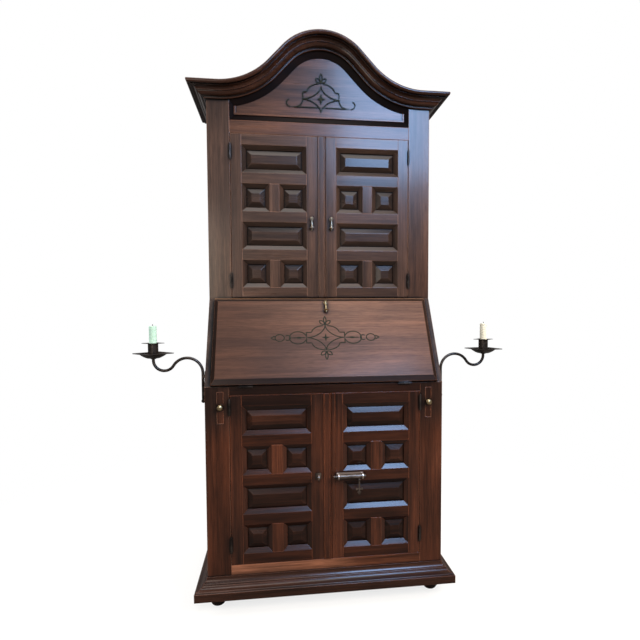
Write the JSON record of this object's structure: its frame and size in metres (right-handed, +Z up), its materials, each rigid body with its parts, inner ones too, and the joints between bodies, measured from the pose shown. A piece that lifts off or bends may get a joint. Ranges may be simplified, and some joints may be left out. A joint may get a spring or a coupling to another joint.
{
  "type": "vargueno",
  "caption": "Tall writing cabinet: slant lid that falls onto lopers, pigeonholes, panelled cupboards above and below, arched cornice, iron bolt and candle arms.",
  "frame": {"origin": "on the floor, under the middle of the whole object", "axes": "+X to the right as seen from the front, the front faces -Y, +Z up"},
  "size_m": [1.3207, 0.521, 2.052],
  "materials": {
    "upper_wood": "satin",
    "lid_wood": "satin",
    "lower_wood": "satin",
    "dark_moulding": "satin",
    "inner_wood": "matte",
    "iron": "matte",
    "brass": "satin",
    "pale_green_wax": "satin",
    "ivory_wax": "satin"
  },
  "bodies": {
    "case": {"bun_feet": "dark_moulding", "base_front": "dark_moulding", "base_returns": "dark_moulding", "plinth_board": "inner_wood", "desk_sides": "lower_wood", "back_boards": "inner_wood", "desk_board": "inner_wood", "top_boards": "inner_wood", "face_stiles": "upper_wood", "lower_rails": "lower_wood", "shelves": "inner_wood", "loper_channels": "inner_wood", "upper_sides": "upper_wood", "head_rail": "upper_wood", "tympanum_board": "upper_wood", "tympanum_frame": "dark_moulding", "cornice_front": "dark_moulding", "cornice_returns": "dark_moulding", "fixed_hinge_leaves": "iron", "hinge_pins": "iron", "candle_arms": "iron", "drip_pans": "iron", "candle_sockets": "iron", "left_candle": "pale_green_wax", "right_candle": "ivory_wax", "gallery": "inner_wood"},
    "upper_left_door": {"upper_left_door_uprights": "upper_wood", "upper_left_door_rails": "upper_wood", "upper_left_door_panels": "upper_wood", "upper_left_door_hinge_leaves": "iron", "upper_left_pull_post": "brass"},
    "upper_right_door": {"upper_right_door_uprights": "upper_wood", "upper_right_door_rails": "upper_wood", "upper_right_door_panels": "upper_wood", "upper_right_door_hinge_leaves": "iron", "upper_right_pull_post": "brass"},
    "lower_left_door": {"lower_left_door_uprights": "lower_wood", "lower_left_door_rails": "lower_wood", "lower_left_door_panels": "lower_wood", "lower_left_door_hinge_leaves": "iron", "bolt_keeper": "iron"},
    "lower_right_door": {"lower_right_door_uprights": "lower_wood", "lower_right_door_rails": "lower_wood", "lower_right_door_panels": "lower_wood", "lower_right_door_hinge_leaves": "iron", "bolt_barrel": "iron"},
    "lid": {"lid": "lid_wood", "lid_hinge_leaves": "iron", "lid_pull_post": "brass"},
    "lid_pull": {"lid_pull_drop": "brass"},
    "upper_left_pull": {"upper_left_pull_drop": "brass"},
    "upper_right_pull": {"upper_right_pull_drop": "brass"},
    "bolt": {"bolt_rod": "iron"},
    "bolt_pendant": {"bolt_drop": "iron"},
    "left_loper": {"left_loper": "lower_wood", "left_loper_knob": "brass"},
    "right_loper": {"right_loper": "lower_wood", "right_loper_knob": "brass"},
    "left_drawer": {"left_gallery_drawer": "inner_wood"},
    "right_drawer": {"right_gallery_drawer": "inner_wood"}
  },
  "joints": [
    {"name": "lower_left_door_hinge", "type": "hinge", "parent": "case", "child": "lower_left_door", "pos_m": [-0.3373, -0.2237, 0.4508], "axis": [0, 0, -1], "range_deg": [0, 90]},
    {"name": "lower_right_door_hinge", "type": "hinge", "parent": "case", "child": "lower_right_door", "pos_m": [0.3373, -0.2237, 0.4508], "axis": [0, 0, 1], "range_deg": [0, 90]},
    {"name": "upper_left_door_hinge", "type": "hinge", "parent": "case", "child": "upper_left_door", "pos_m": [-0.3373, -0.0587, 1.39135], "axis": [0, 0, -1], "range_deg": [0, 110]},
    {"name": "upper_right_door_hinge", "type": "hinge", "parent": "case", "child": "upper_right_door", "pos_m": [0.3373, -0.0587, 1.39135], "axis": [0, 0, 1], "range_deg": [0, 110]},
    {"name": "lid_hinge", "type": "hinge", "parent": "case", "child": "lid", "pos_m": [0, -0.2229, 0.7791], "axis": [1, 0, 0], "range_deg": [0, 118.38]},
    {"name": "left_loper_slide", "type": "slide", "parent": "case", "child": "left_loper", "axis": [0, -1, 0], "range_m": [0, 0.25]},
    {"name": "right_loper_slide", "type": "slide", "parent": "case", "child": "right_loper", "axis": [0, -1, 0], "range_m": [0, 0.25]},
    {"name": "bolt_slide", "type": "slide", "parent": "lower_right_door", "child": "bolt", "axis": [1, 0, 0], "range_m": [-0.064, 0]},
    {"name": "bolt_pendant_swing", "type": "hinge", "parent": "bolt", "child": "bolt_pendant", "pos_m": [0.1115, -0.2395, 0.4415], "axis": [-1, 0, 0], "range_deg": [0, 80]},
    {"name": "upper_left_pull_swing", "type": "hinge", "parent": "upper_left_door", "child": "upper_left_pull", "pos_m": [-0.037, -0.0637, 1.387], "axis": [-1, 0, 0], "range_deg": [0, 80]},
    {"name": "upper_right_pull_swing", "type": "hinge", "parent": "upper_right_door", "child": "upper_right_pull", "pos_m": [0.037, -0.0637, 1.387], "axis": [-1, 0, 0], "range_deg": [0, 80]},
    {"name": "lid_pull_swing", "type": "hinge", "parent": "lid", "child": "lid_pull", "pos_m": [0.01, -0.0934, 1.07285], "axis": [-1, 0, 0], "range_deg": [0, 80]},
    {"name": "left_drawer_slide", "type": "slide", "parent": "case", "child": "left_drawer", "axis": [0, -1, 0], "range_m": [0, 0.12]},
    {"name": "right_drawer_slide", "type": "slide", "parent": "case", "child": "right_drawer", "axis": [0, -1, 0], "range_m": [0, 0.12]}
  ]
}
